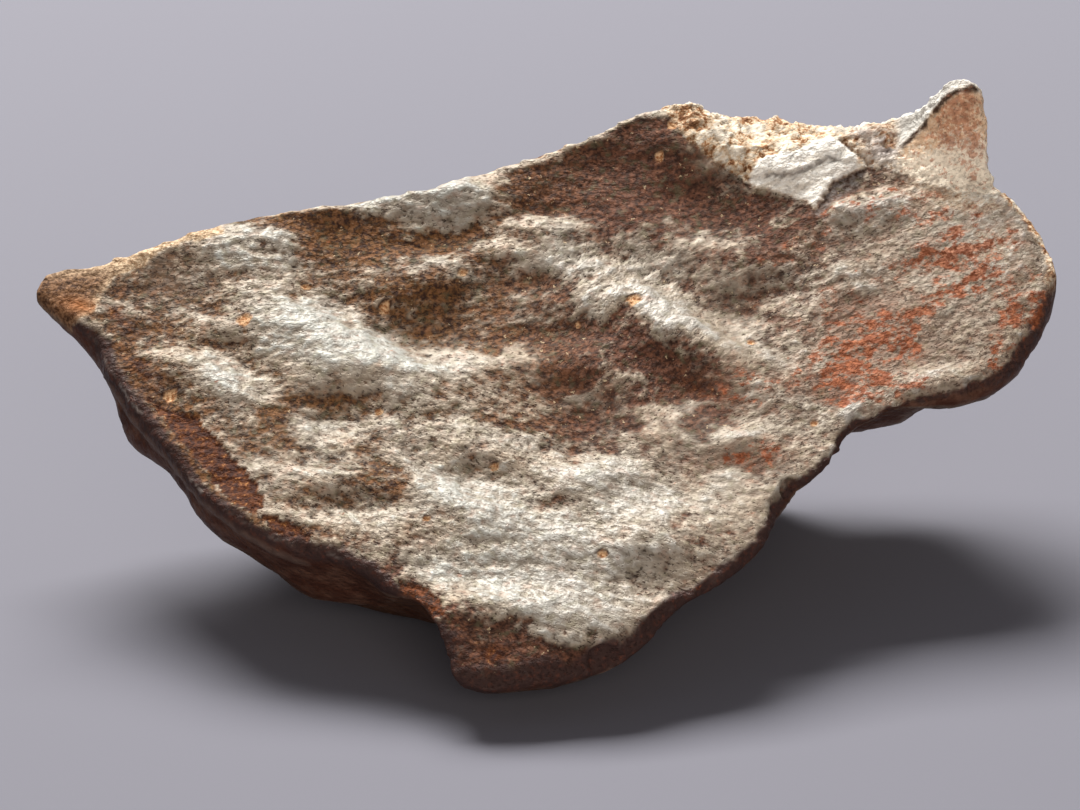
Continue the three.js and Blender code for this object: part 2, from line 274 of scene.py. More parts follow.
# and what each chunk is like
crumbs = {
    "seedStep": 7.1,
    "spread": 5.3,               # spreads the chunks' own values
    "gap": (0.16, 0.02),         # a gap opens where a place is this near to two chunks alike
    "gapDepth": 0.15,
    "rise": 0.5,                 # how much the chunks differ in height
    "tilt": 1.1,
}

# how dark the gaps in broken stone are
gapShades = {"large": 0.45, "small": 0.25, "groove": 0.75, "crack": 0.65}

# how much of the ragged and of the fine ragged unevenness each edge takes
raggedEdges = {
    "broken": (0.6, 1),
    "facet": (0, 2),
    "hollow": (0.6, 0),
    "ember": (0.7, 2),
    "orange": (0.3, 0),
    "step": (0, 1),
    "crack": (0, 1.5),
    "spot": (0.9, 2),
    "hornLine": (0.8, 0),
}

# where one kind of surface gives way to the next: it starts at the first value and is whole at
# the second; facing is 1 towards the front, 0 on an upright wall and less than 0 behind
limits = {
    "raised": (0, 0.8),              # mm above the ground: the spot that it rests on stays flat
    "front": (0.2, 0.5),             # facing
    "openFace": (0.2, 0.6),
    "under": (-0.25, -0.6),
    "rear": (0.1, 0.4),              # turned up the slope
    "rearFacing": (0.6, 0.3),
    "behindRim": (0.15, -0.15),
    "dirty": (0.3, -0.1),
    "brokenEdge": (-0.15, 0.15),     # mm inside an outline
    "cornerFacing": (-0.30, -0.15),
    "tipFacing": (-0.25, 0),
    "facetEdge": (-0.45, -0.2),
    "hollowEdge": (-0.3, 0.4),
    "scarEdge": (-0.1, 0.1),
    "emberFacing": (0, 0.2),
    "orangeFacing": (-0.2, 0.1),
    "hornOut": (3.0, 4.2),           # mm out and across
    "hornAcross": (30.4, 31.6),
    "hornFrontAcross": (30.4, 31.8),
    "hornRidge": (1.0, 0),           # mm away from the horn's line
    "hornLine": (0.35, 0.05),
    "hornTop": (-0.1, 0.5),          # mm above it
    "hornFront": (0.1, -0.5),
    "hornTopFacing": (0.0, 0.4),
    "solid": (0.6, 1.0),             # how crumbly the stone is
    "crack": (0.20, 0.05),           # mm away from a line
    "spot": (1.2, 0.8),              # radii away from a spot
    # the painted shadow over the upper side of each spot
    "spotShadow": (1.7, 1.3),
    "spotShadowTop": (-0.4, 0.3),
}

# the crust flowed in other directions here and there: across, up, reach, turn in degrees, weight
flows = [
    (0, 0, 60, 0, 0.12),
    (-4, -16, 14, -22, 1),
    (9, 6, 8, 50, 1),
    (32, 8, 16, 26, 1),
]

# outlines of the places where the crust broke off
brokenCorner = [
    (9.6, 31), (10.8, 27.8), (12.7, 24.8), (14.3, 23.6), (17.1, 21.7), (18.4, 20.9), (20.5, 20.2),
    (22.5, 19.6), (23.4, 18.5), (25.4, 21.6), (27.4, 22.6), (29.4, 23.2), (31.5, 22.0), (36, 20.0),
    (39.5, 19.8), (42, 24), (40, 31), (26, 33),
]
brokenTip = [
    (-46, 7.6), (-44, 14), (-38, 16), (-34, 18), (-29, 19), (-27.8, 15.6), (-29.7, 14.6),
    (-31.3, 14.5), (-33.2, 13.5), (-34.9, 12.2), (-37, 11.2), (-38.1, 9.3), (-38.1, 8.1), (-38.5, 7.2),
    (-40.1, 6.6), (-42, 6.8),
]
smoothFacet = [
    (18.1, 21.4), (18.9, 22.7), (20.6, 23.3), (21.9, 23.6), (24.9, 25.5), (25.7, 25.2), (27, 24),
    (27.2, 23), (25.5, 21.9), (23.4, 18.8), (22.6, 19.8), (20.5, 20.4), (18.8, 20.7),
]
greyHollow = [
    (23.3, 17.6), (23.5, 18.8), (25.3, 21.8), (26.1, 22.6), (27.3, 23.1), (28.4, 22.7), (27.9, 21.8),
    (26.2, 20.1), (24.3, 17.2),
]

# flakes off the left rim, and one beside the lower lobe
emberScars = [
    [
        (-33.1, -1.5), (-31.3, -2.7), (-29.6, -3.3), (-28.0, -5.0), (-26.7, -6.8), (-25.1, -9.0),
        (-23.6, -10.5), (-22.9, -12.4), (-23.6, -13.9), (-25.6, -12.6), (-28.6, -8.4), (-31.2, -4.8),
    ],
    [
        (-22.9, -14.1), (-20.7, -14.6), (-18.8, -16.4), (-19.4, -17.3), (-21.9, -15.8),
    ],
]
orangeScar = [
    (-11.8, -20.5), (-9.5, -21.2), (-8.4, -23.0), (-8.1, -24.4), (-9.8, -24.4), (-11.6, -22.2),
]

# lines along the stone: the ledge on the left wall, the groove beside the facet, the horn's ridge
ledgeLine = [
    (-37.5, 2.2, -1.2), (-33, -4.8, -1.6), (-28.3, -11.6, -1.4), (-25.7, -14, -1.5), (-22.8, -16, -2),
    (-19.6, -17.6, -2.6),
]
grooveLine = [
    (25.9, 25.6, 4.1), (27, 24.5, 3.9), (28, 23.8, 3.6), (28.7, 22.6, 3.2),
]
hornLine = [
    (30.8, 24.2, 3.6), (31.6, 24.8, 4.1), (34.2, 26.3, 6.6), (37.6, 27.3, 8.3),
]
facetStep = [
    (18.4, 21.5), (19.3, 21.6), (21.4, 21.6), (22.4, 21.9), (23.5, 22.6), (24.8, 23.6), (25.9, 23.4),
]
crackLines = [
    facetStep[1:],
    [(21.4, 23.2), (22.3, 24.0), (23.4, 24.3)],
    [(14.6, 28.8), (15.3, 27.8), (16.2, 27.9), (17.4, 28.8)],
    [(18.9, 26.4), (20, 26.8), (21.2, 27.8)],
    [(12.6, 27.0), (13.4, 26.2)],
    [(29.6, 25.2), (30.4, 24.2)],
]

# rusty spots of about a millimetre: across, up, radius
spots = [
    (-31.4, -1.2, 0.52), (-25.5, 6.4, 0.52), (-13.7, 8.2, 0.46), (-7.0, 11.5, 0.36),
    (10.1, 23.9, 0.40), (11.2, 26.6, 0.45), (7.6, 8.2, 0.52), (-13.9, -3.1, 0.3), (-4.1, -8.9, 0.3),
    (2.8, 6.2, 0.28), (-20.5, 10.5, 0.3), (17.5, 4.2, 0.3), (22.4, -4.5, 0.32), (-9.6, -14.6, 0.28),
    (4.6, -18.2, 0.3),
]

# flat flakes knocked off the thin rim at the lower right
rimChips = {
    "count": 26,
    "reach": (0.5, 1.3),      # mm
    "depth": (0.08, 0.34),
    "fade": (1.6, 1.2),       # shares of the reach where a chip ends and where it is whole
    "rimWidth": 0.15,
    "rightOf": 3,
    "below": 9,
    "seed": 11,
}

# how the outlines of the patches wander
stray = {
    "reach": 1.6,      # mm
    "size": 3.0,
    "octaves": 4,
    "seeds": (41, 42),
}


def soft(name, value):
    # how far a value has gone from one named limit to the other, from 0 to 1
    return ease(*limits[name], value)


def uneven(places, name):
    size, height, seed, octaves = unevenness[name]
    return height * grainNoise(places, size, seed, octaves=octaves)


def strayed(places):
    # places moved about a little along the face
    moves = [grainNoise(places, stray["size"], seed, octaves=stray["octaves"]) for seed in stray["seeds"]]
    return places + stray["reach"] * np.stack(moves + [np.zeros(len(places))], axis=1)


def insideOutline(places, outline):
    # signed distance to an outline on the face, positive inside
    x, y = places[:, 0], places[:, 1]
    within = np.zeros(len(places), bool)
    nearest = np.full(len(places), np.inf)
    for (ax, ay), (bx, by) in zip(outline, outline[1:] + outline[:1]):
        run = np.array([bx - ax, by - ay])
        t = np.clip(((x - ax) * run[0] + (y - ay) * run[1]) / (run @ run), 0, 1)
        nearest = np.minimum(nearest, np.hypot(x - ax - run[0] * t, y - ay - run[1] * t))
        if ay != by:
            crosses = ((ay > y) != (by > y)) & (x < (bx - ax) * (y - ay) / (by - ay) + ax)
            within ^= crosses
    return np.where(within, nearest, -nearest)


def awayFromLine(places, line):
    # distance to a line of points, on the face or in the stone's own space
    nearest = np.full(len(places), np.inf)
    for start, end in zip(np.array(line[:-1], float), np.array(line[1:], float)):
        run = end - start
        t = np.clip((places - start) @ run / (run @ run), 0, 1)
        nearest = np.minimum(nearest, np.linalg.norm(places - start - t[:, None] * run, axis=1))
    return nearest


def aboveLine(places, line):
    # how far up the face each place is from a line that runs across it
    across, up = np.array(line).T[:2]
    return places[:, 1] - np.interp(places[:, 0], across, up)


def alongLine(places, line, half):
    # 1 on a line of points, fading to about a third at the given half width
    return np.exp(-(awayFromLine(places, line) / half) ** 2)


def flowShares(places):
    shares = np.stack([
        weight * np.exp(-((places[:, 0] - across) ** 2 + (places[:, 1] - up) ** 2) / reach ** 2)
        for across, up, reach, _, weight in flows
    ]) ** 2
    return shares / shares.sum(0)


def flowNoise(places, name):
    size, height, seed, stretch = flowing[name]
    total = np.zeros(len(places))
    for k, share in enumerate(flowShares(places)):
        total += share * grainNoise(places, size, seed + k, stretch, flows[k][3])
    return height * total


def crumble(places, name):
    # broken stone: a tilted flat for each chunk, with gaps between them and a value of its own
    size, height, seed = chunks[name]
    rows = []
    for p in (places / size + seed * crumbs["seedStep"]).tolist():
        distances, middles = noise.voronoi(p)
        tilt = noise.cell_vector(middles[0] * crumbs["spread"])
        slope = (Vector(p) - middles[0]) @ (tilt * 2 - Vector((1, 1, 1)))
        rows.append((distances[1] - distances[0], tilt[0], slope))
    gap, value, slope = np.array(rows).T
    gap = ease(*crumbs["gap"], gap)
    bumps = crumbs["rise"] * (value - 0.5) + crumbs["tilt"] * slope - crumbs["gapDepth"] * gap
    return height * bumps, value, gap


def chipRim(places, normals, rim):
    draw = np.random.default_rng(rimChips["seed"])
    onRim = (rim < rimChips["rimWidth"]) & (places[:, 1] < rimChips["below"])
    onRim = np.flatnonzero(onRim & (places[:, 0] > rimChips["rightOf"]))
    fadeEnd, fadeStart = rimChips["fade"]
    for k in draw.choice(onRim, rimChips["count"], replace=False):
        reach = draw.uniform(*rimChips["reach"])
        depth = draw.uniform(*rimChips["depth"])
        away = np.linalg.norm(places - places[k], axis=1)
        way = normals[away < reach].mean(0)
        way /= np.linalg.norm(way)
        proud = (places - places[k]) @ way + depth
        cut = np.clip(proud, 0, None) * ease(reach * fadeEnd, reach * fadeStart, away)
        places = places - cut[:, None] * way
    return places


def slopeShade(mesh):
    # how far the ground turns down the slope, away from the lamp behind, seen over a few points: painted
    # shade makes the crust duller and warmer there
    normals = readNormals(mesh)
    mean = meanOfNeighbours(mesh)
    for _ in range(relief["slopeShadePasses"]):
        normals = mean(normals)
    return -(normals @ np.array([0, leanCos, leanSin]))


def creases(mesh):
    # how deep each point lies below the ground around it, in mm
    points = readPoints(mesh)
    mean = meanOfNeighbours(mesh)
    around = points
    for _ in range(relief["creasePasses"]):
        around = mean(around)
    return ((around - points) * readNormals(mesh)).sum(1) / mm


def findKinds(places, ways, edges):
    # how much each point belongs to each kind of surface, from 0 to 1
    facing = ways[:, 2]
    onFront = soft("front", facing)
    onRear = soft("rear", ways[:, 1]) * soft("rearFacing", facing)

    # away from the front face the edges of the broken places wander more
    wander = np.zeros_like(places)
    slant = relief["brokenSlant"] * np.minimum(places[:, 2] - relief["slantBelow"], 0)
    wander[:, 0] = soft("behindRim", facing) * (uneven(places, "behindRim") + slant)
    turned = facing + uneven(places, "turned")
    corner = soft("brokenEdge", insideOutline(places + wander, brokenCorner) + edges["broken"])
    corner *= soft("cornerFacing", turned)
    tip = soft("brokenEdge", insideOutline(places + wander, brokenTip) + edges["broken"])
    tip *= soft("tipFacing", turned + relief["tipDrop"] * np.minimum(places[:, 2], 0))

    facet = soft("facetEdge", insideOutline(places, smoothFacet) + edges["facet"]) * corner
    hollow = soft("hollowEdge", insideOutline(places, greyHollow) + edges["hollow"])
    ember = np.max([insideOutline(places, outline) for outline in emberScars], axis=0)
    orange = soft("scarEdge", insideOutline(places, orangeScar) + edges["orange"])
    wandered = strayed(places)
    return {
        "corner": corner,
        "tip": tip,
        "facet": facet,
        "hollow": hollow * (1 - facet) * onFront,
        "ember": soft("scarEdge", ember + edges["ember"]) * soft("emberFacing", facing),
        "orange": orange * soft("orangeFacing", facing),
        "brown": ovals(wandered, brownPatches) * onFront,
        "pale": ovals(wandered, palePatches) * onFront,
        "back": np.maximum(soft("under", facing), onRear),
        "dirty": soft("dirty", facing),
    }


def findSpots(places, facing, edges):
    # the rusty spots, and a painted shadow over the upper side of each
    spotted, spotShadow = np.zeros((2, len(places)))
    exposed = soft("openFace", facing)
    for across, up, radius in spots:
        dx, dy = places[:, 0] - across, places[:, 1] - up
        away = np.hypot(dx, dy) / radius + edges["spot"]
        spotted = np.maximum(spotted, soft("spot", away) * exposed)
        spotShadow = np.maximum(spotShadow, soft("spotShadow", away) * soft("spotShadowTop", dy / radius) * exposed)
    return spotted, spotShadow * (1 - spotted)


def shapeRelief(stone):
    mesh = stone.data
    points = readPoints(mesh)
    places = toFace(points)
    ways = turnToFace(readNormals(mesh))
    facing = ways[:, 2].copy()
    rim = rimDistance(places, facing)
    ragged, fine = uneven(places, "ragged"), uneven(places, "fineRagged")
    edges = {name: a * ragged + b * fine for name, (a, b) in raggedEdges.items()}
    kinds = findKinds(places, ways, edges)
    corner, facet = kinds["corner"], kinds["facet"]

    # the crust
    lift = uneven(places, "swell") + flowNoise(places, "dent")
    lift += kinds["back"] * np.minimum(uneven(places, "thumb"), relief["thumbTop"])
    lift += relief["patch"] * (kinds["pale"] - kinds["brown"]) * (1 - corner)
    fineLift = (1 - relief["rippleLoss"] * corner) * flowNoise(places, "ripple")
    fineLift += (1 - relief["grainLoss"] * facet) * flowNoise(places, "grain")
    onWalls = relief["fineOnWalls"]
    lift += fineLift * (onWalls + (1 - onWalls) * soft("openFace", facing))

    # broken stone, and the layers, step and cracks in it
    onHorn = soft("hornOut", places[:, 2]) * soft("hornAcross", places[:, 0]) * corner
    crumbly = np.clip(corner - facet, 0, 1) * (1 - relief["hornSmooth"] * onHorn)
    bumps, chunk, gap = crumble(places, "large")
    smallBumps, smallChunk, smallGap = crumble(places, "small")
    lift += crumbly * (bumps + smallBumps)
    size, height, seed = relief["layer"]
    layers = grainNoise(places, size, seed, relief["layerStretch"], relief["layerTurn"])
    lift += height * facet * layers
    lift += relief["step"] * facet * soft("scarEdge", aboveLine(places, facetStep) + edges["step"])
    cracked = np.min([awayFromLine(places[:, :2], line) for line in crackLines], axis=0)
    cracked = soft("crack", cracked + edges["crack"]) * corner
    lift -= relief["crack"] * cracked
    lift -= relief["hollow"] * kinds["hollow"]
    lift -= relief["scar"] * np.maximum(kinds["ember"], kinds["orange"])

    # the ridge of the horn, the groove, the ledge and the rusty spots
    ridge = awayFromLine(places[:, :2], np.array(hornLine)[:, :2])
    behind = aboveLine(places, hornLine)
    lift += relief["hornRidge"] * soft("hornRidge", ridge) * onHorn
    half, depth = relief["groove"]
    groove = alongLine(places, grooveLine, half)
    lift -= depth * groove
    half, height = relief["ledge"]
    lift += height * alongLine(places, ledgeLine, half)
    spotted, spotShadow = findSpots(places, facing, edges)
    lift -= relief["spot"] * spotted

    lift *= soft("raised", points[:, 2] / mm)
    places = chipRim(places + ways * lift[:, None], ways, rim)
    points = fromFace(places)
    points[:, 2] = np.maximum(points[:, 2], 0)
    writePoints(mesh, points)

    solid = soft("solid", crumbly)
    largeShare, smallShare = relief["chunkShares"]
    kinds.update({
        "chunk": largeShare * chunk + smallShare * smallChunk,
        "gap": np.maximum.reduce([
            gapShades["large"] * gap * solid,
            gapShades["small"] * smallGap * solid,
            gapShades["groove"] * groove ** 2,
            gapShades["crack"] * cracked,
        ]),
        "spotted": spotted,
        "spotShadow": spotShadow,
        "hornTop": soft("hornTop", behind) * onHorn * soft("hornTopFacing", facing),
        # a painted shadow along the line under the horn's ridge
        "hornLine": soft("hornLine", ridge + edges["hornLine"]) * onHorn,
        "hornFront": soft("hornFront", behind) * soft("hornFrontAcross", places[:, 0]) * corner,
        # painted shade: the crust is made darker and duller the deeper a point lies in a crease
        "creaseShade": creases(mesh),
    })
    ground = {"places": places, "facing": facing, "rim": rim, "slopeShade": slopeShade(mesh)}
    print("relief: up to", round(float(lift.max()), 2), "mm out and", round(float(-lift.min()), 2), "mm in")
    return ground, kinds


# stains, where the crust changes colour: rows of across, up, half width, half height, turn, strength
rustPatches = [
    (25, 1.6, 3.4, 3.4, 60, 1.0), (28.6, 4.4, 3.2, 2, 20, 1.0), (26.6, -1, 2.8, 1.8, 40, 1.1),
    (30, -0.8, 2, 1.4, 20, 0.8), (33.4, 13.6, 3.8, 1.5, 28, 0.85), (38.3, 13.6, 3.6, 2.4, 30, 0.85),
    (40.2, 6.8, 1.6, 1, 40, 1.1), (36.4, 9.9, 3, 1.5, 25, 1.1), (41, 9.5, 1.8, 2.4, 60, 0.7),
    (31, 7, 4, 1.8, 20, 0.7), (16.3, -8, 4.4, 1.3, 10, 0.75), (15.5, -0.8, 3.6, 1.3, -15, 0.7),
    (21.5, 14, 4.6, 1.6, 35, 0.35), (35.6, 25.2, 2.4, 1.4, 30, 0.9), (37, 23.4, 1.2, 2, 0, 0.9),
    (28.6, 18.6, 4.4, 1.2, 18, 0.8), (24, 8.5, 5, 1.5, 20, 0.6), (34, 17.5, 5, 1.5, 10, 0.75),
    (37.8, 3, 2.4, 1.6, 40, 0.9), (18, 0, 3, 1, -10, 0.7), (31, 9, 11, 9, 20, 0.12),
    (37.4, 25.4, 1.0, 1.6, 0, 0.6),
]

# broken stone stained tan, and stained grey
tanPatches = [
    (12.2, 26.4, 1.2, 1.6, -20, 0.6), (15.2, 23.9, 1.8, 0.9, -30, 0.4), (17.4, 29.0, 1.2, 0.8, 0, 0.9),
    (15.9, 25.6, 1.6, 0.8, 0, -0.6), (18.8, 28.0, 1.2, 0.8, 0, -0.6), (35.4, 23.4, 4.0, 3.4, 0, -1.0),
    (31, 21.8, 2.4, 1.2, 0, -0.4), (-39.4, 8.0, 2.0, 0.8, -20, 1.0), (42.5, 12, 3, 8, 0, 0.7),
]
ashenPatches = [(29.8, 24.8, 1.9, 1.9, 0, 1.0), (27.6, 26.4, 1.2, 0.8, 0, 0.6)]

# deep red-brown crust by the left rim and on the lower lobe
emberPatches = [
    (-6.4, -26.0, 1.6, 1.2, -40, 0.3), (-0.6, -28.0, 1.6, 0.6, 0, 0.4),
    (-36.2, 6.8, 2.0, 0.6, -55, 0.9), (-4.1, -27.6, 0.8, 0.7, 0, 1.4), (-33.5, 0.9, 0.9, 2.2, 40, 0.7),
    (13.2, -0.4, 3, 0.8, -18, 0.6),
]

# rust-brown crust that took no polish
brownPatches = [
    (-20, 17, 6, 2.2, 5, 0.9), (-12, 14.2, 6, 2.2, 0, 1.1), (-0.5, 20.4, 5, 2.8, 20, 0.7),
    (6, 24, 6, 3, 25, 0.9), (12, 20.2, 3.6, 3.0, -20, 0.9), (20.5, 15, 5, 0.9, 52, 0.9),
    (-10.5, 9.6, 4.8, 1.8, 5, 0.8), (0, 9.5, 4, 2, -15, 0.5), (9, 2.6, 5, 1.8, -28, 0.9),
    (26, 20, 2.8, 1.3, 25, 0.9), (1.5, 0.8, 4, 2, -20, 0.8), (-33.5, 6, 3, 4, -60, 0.3),
    (-34, 9.5, 4, 2.4, 10, 0.3), (0, -13, 1.6, 1, -20, 0.7), (-31.5, -4, 2, 4.5, 35, 0.9),
    (-27.3, -10, 1.6, 4, 35, 1.0), (-22, -15, 3.5, 1, -30, 0.7), (-5.5, -27, 5.5, 2.6, -25, 1.0),
    (2, -27.5, 5, 1.6, 0, 0.9), (-10.5, -21.5, 2.6, 1, -40, 0.8), (18, 15, 3.5, 1.6, 20, 0.6),
    (13, 16.5, 2.5, 1.6, 0, 0.4), (-28, 8, 3, 1.2, 0, 0.4), (10.5, -15.5, 3.2, 1.4, 0, 0.45),
    (8.5, -4, 3.2, 1.2, -10, 0.35), (-24, 18.8, 3.2, 1.8, 5, 1.5), (7, 18.6, 5, 2, 0, 1.0),
    (17, 17, 5, 1.4, 0, 0.9), (-5, 5, 6, 1.5, -5, 0.55), (-1, 4.6, 2.4, 1.2, 0, 0.5),
    (2.4, 4.2, 3, 1.5, 0, 0.8), (-22, 9.2, 2.4, 1.4, 30, 0.8), (4, 2.4, 2.4, 1.2, 0, 0.6),
    (-15.5, -8.2, 3.2, 2.2, 10, 1.0), (-22, -6.4, 3, 1.6, -20, 0.6), (0, -4.6, 5.5, 1.4, -5, 1.0),
    (-2, -6.8, 3.4, 1.4, 0, 0.4), (12, -0.8, 3.6, 1.2, 0, 0.6), (-22.6, -3.6, 2.2, 1.2, -30, 0.6),
    (-19.6, -1.4, 3, 1.2, 0, 0.4), (17, -10, 2, 2.4, 0, 0.5), (13, -4, 2.4, 1.1, 0, 0.8),
    (4.5, -7, 2.2, 1.2, 0, 0.6), (-12.5, -10.2, 2.6, 1.6, 0, 1.0), (19, 6.5, 2, 1.6, 0, 0.5),
    (28, 7.2, 4, 2.2, 10, 1.0), (25.5, 13.6, 2.4, 1.2, 10, 0.5), (28, 2.4, 4.4, 1.6, 10, 1.0),
    (24.4, -0.4, 2.6, 1.6, 30, 0.7), (-35.4, 3.2, 1.2, 2.4, 30, 0.8),
]

# crust that took the most polish; its paler colour is partly painted sheen
palePatches = [
    (-26, 13.5, 3.4, 1.8, 10, 1.3), (-21.5, 7, 3.8, 2.8, -40, 1.0), (-16.5, 4, 4.2, 2, -25, 1.0),
    (-11, 2, 3.4, 1.4, -10, 0.8), (-27, 0, 2.4, 1.8, -40, 0.9), (-7, 18.2, 4, 1.8, 5, 1.5),
    (0.8, 12.8, 4, 1.4, -10, 0.9), (-7.5, 11.4, 3, 1.1, 0, 0.7), (9.5, 8, 4.6, 2, -45, 0.9),
    (-9, -10, 5, 2.4, -15, 0.6), (6.5, -11.5, 5.5, 3, -10, 0.7), (-2, -17, 7, 3.4, -15, 0.7),
    (-16.5, -8, 4, 2, 0, 0.6), (-5.5, -20.6, 4.5, 1.4, -12, 0.8), (16.4, -6, 1.8, 1.4, 20, 0.4),
    (16, -11.2, 2.4, 1.6, 0, 0.6), (29.5, -1.2, 2.4, 1, 10, 0.6), (28.6, 17.2, 3.4, 1.3, 10, 1.1),
    (9.6, 13, 2.4, 1.2, -20, 0.8), (20, 3, 4, 1.2, -20, 0.4), (-2, -6.5, 5, 2, -20, 0.4),
    (4, -20, 4, 2, 20, 0.5), (38, 20, 3, 1, -10, 0.5), (34, 12, 9, 6, 20, 0.3),
    (-20, 5.5, 7, 3.5, -30, 0.4), (0, -13, 16, 8, -10, 0.25), (-12, 17.4, 2.6, 1.4, 0, 0.8),
    (-8.4, 19.4, 2.6, 1.4, 10, 1.5), (37.5, 18, 4, 2.4, 0, 1.1), (39, 13.4, 2.4, 2.2, 0, 1.0),
    (-25.4, 13.8, 3.2, 1.2, 0, 0.8), (-15, 8, 1.6, 1.2, 0, 0.6), (-20.5, 3.4, 4.5, 2.0, -25, 0.9),
    (-12.6, -0.8, 2.4, 1.2, 0, 0.7), (4, 8.4, 2.6, 1.2, 0, 1.0), (11, 5.2, 2.4, 1, -20, 1.0),
    (26, -3.0, 3, 1.6, 20, 1.0), (-2, -17.5, 9, 3, 0, 0.3), (1.5, -24.4, 5.4, 1.7, 0, 1.2),
    (5, -19, 8, 1.6, 0, 0.6), (18, 11.4, 2.4, 1, 20, 0.35), (27, 11.4, 2.6, 1.4, 0, 0.8),
    (3, -1.4, 1.6, 1, 0, 0.7), (36.6, 14.4, 2.6, 1.4, 0, 0.6), (-15, 17.8, 4, 1.4, 0, 0.7),
    (-18, -3.6, 2, 1.2, 0, 0.5), (18, -0.8, 1.6, 1, 0, 0.7),
]

# crust so thin that the stone shows through
thinPatches = [(36.5, 19.6, 4, 1.6, -5, 0.5), (38.5, 14.5, 2.6, 2.4, 0, 0.25), (17, 22.2, 3, 0.8, -25, 0.4)]

# taupe crust, weathered all through
weatheredPatches = [
    (-32, 11.6, 3, 2.4, 0, 0.6), (35, 9, 8, 9, 20, 1.0), (27, 3, 6, 5, 30, 0.8),
    (32, 16, 6, 3, 30, 0.5), (20, -6, 6, 5, 30, 0.4),
]

# the dark band over the lower rim, partly crust rolled over it and partly painted shade on the edge that
# turns down: across, width in mm
rolledAndShadedBand = [
    (-38.5, 0.5), (-37, 1.5), (-33, 1.2), (-30, 0.8), (-22, 0.9), (-19, 1.2), (-13, 1.3), (-11.5, 0.4),
    (-9, 0), (-6, 1.6), (0, 1.8), (7, 1.5), (14, 1.0), (22, 0.6), (30, 0.3), (37, 0.4), (40, 0.9),
    (43, 1.0),
]

stains = {
    "knobSlant": 0.5,         # the knob at the left tip ends along a slanted line
    "knobMiddle": 10,
    "weathered": 0.8,         # how strongly the taupe crust shows
    "warmStart": 0.45,        # how warm the crust is, and what patches and the painted shade on ground turned down the slope add to it
    "warmPatches": 0.6,
    "warmSlopeShade": 0.25,
    "topRimRagged": 0.4,      # how ragged the painted highlight on the top rim is
    "topRimHighlight": 0.6,            # and how strong it is
    "leastBand": 0.01,        # mm; the band is never taken as narrower
}

# where the stains start and where they are whole, in the same way as the limits of the relief
limits.update({
    "onFace": (0.1, 0.5),            # facing
    "wall": (0.78, 0.5),
    "slopeShade": (-0.06, 0.14),        # how far the ground turns down the slope, for painted shade
    "left": (8, -10),                # mm across
    "golden": (-20, -14),            # mm up
    "hornBase": (25.2, 22.2),
    "knobAcross": (-36.6, -38.8),    # mm across and up
    "knobUp": (13.5, 10.5),
    "ledge": (0.7, 0.2),             # mm away from its line
    "edgeHighlight": (0.25, 0.05),        # mm away from the rim
    "edgeHighlightGaps": (-0.2, 0.4),     # noise
    "edgeHighlightAcross": (-13, -16),
    "edgeHighlightUp": (6, 3),
    "bandUp": (12, 8),
    "band": (1, 0.5),                # shares of the band's width
    "bandWidth": (0, 0.3),           # mm
    "topRimHighlight": (0.5, 0.2),            # mm away from the rim
    "topRimUp": (9, 11),
    "topRimAcross": (18, 12),
    "topRimGaps": (-0.1, 0.3),
    "lobeRim": (0.9, 0.5),
    "lobeRimAcross": (37.5, 39),
    "lobeRimUp": (9, 13),
})


def saveAttribute(mesh, name, values):
    attribute = mesh.attributes.new(name, "FLOAT", "POINT")
    attribute.data.foreach_set("value", values.astype(np.float32))


def paintStains(mesh, ground, kinds):
    places, facing, rim = ground["places"], ground["facing"], ground["rim"]
    across, up = places[:, 0], places[:, 1]
    onFace = soft("onFace", facing)
    wandered = strayed(places)
    saved = dict(kinds)
    saved["tan"] = ovals(places, tanPatches)
    saved["ashen"] = ovals(places, ashenPatches)
    saved["ember"] = np.maximum(kinds["ember"], ovals(places, emberPatches) * onFace)
    saved["rust"] = ovals(wandered, rustPatches) * onFace
    saved["weathered"] = stains["weathered"] * ovals(places, weatheredPatches) * onFace
    slanted = across - stains["knobSlant"] * (up - stains["knobMiddle"])
    saved["knob"] = soft("knobAcross", slanted) * soft("knobUp", up)
    saved["hornBase"] = soft("hornBase", up)
    saved["ledge"] = soft("ledge", awayFromLine(places, ledgeLine))
    saved["wall"] = soft("wall", facing + uneven(places, "wall"))
    saved["left"] = soft("left", across)
    saved["golden"] = saved["left"] * soft("golden", up)
    saved["slopeShade"] = soft("slopeShade", ground["slopeShade"])
    warm = stains["warmStart"] + stains["warmPatches"] * (kinds["brown"] - kinds["pale"])
    warm += uneven(places, "warm") + stains["warmSlopeShade"] * saved["slopeShade"]
    saved["warm"] = np.clip(warm, 0, 1)

    # a thin pale line along the lower left rim as a painted highlight, and the dark band over the rest of
    # the lower rim, partly painted shade
    edgeHighlight = soft("edgeHighlight", rim) * soft("edgeHighlightGaps", uneven(places, "edgeHighlight"))
    saved["edgeHighlight"] = edgeHighlight * soft("edgeHighlightAcross", across) * soft("edgeHighlightUp", up)
    rolledAndShadedWidth = np.interp(across, *np.array(rolledAndShadedBand).T) * soft("bandUp", up)
    widths = rim / np.maximum(rolledAndShadedWidth, stains["leastBand"])
    saved["band"] = soft("band", widths + uneven(places, "band")) * soft("bandWidth", rolledAndShadedWidth)

    # pale stone along the top rim as a painted highlight; worn through to the stone round the right lobe
    # and in thin patches
    ragged = uneven(places, "wornRim")
    topRimHighlight = soft("topRimHighlight", rim + stains["topRimRagged"] * ragged)
    topRimHighlight *= soft("topRimUp", up) * soft("topRimAcross", across)
    topRimHighlight *= stains["topRimHighlight"] * soft("topRimGaps", uneven(places, "wornTop"))
    lobeRim = soft("lobeRim", rim + ragged) * soft("lobeRimAcross", across) * soft("lobeRimUp", up)
    thin = ovals(wandered, thinPatches) * onFace
    saved["worn"] = np.maximum.reduce([topRimHighlight, lobeRim, thin])
    for k, share in enumerate(flowShares(places)[1:], start=1):
        saved[f"flow{k}"] = share
    for name, values in saved.items():
        saveAttribute(mesh, name, values)
    print("stains:", len(saved), "values saved with each point")


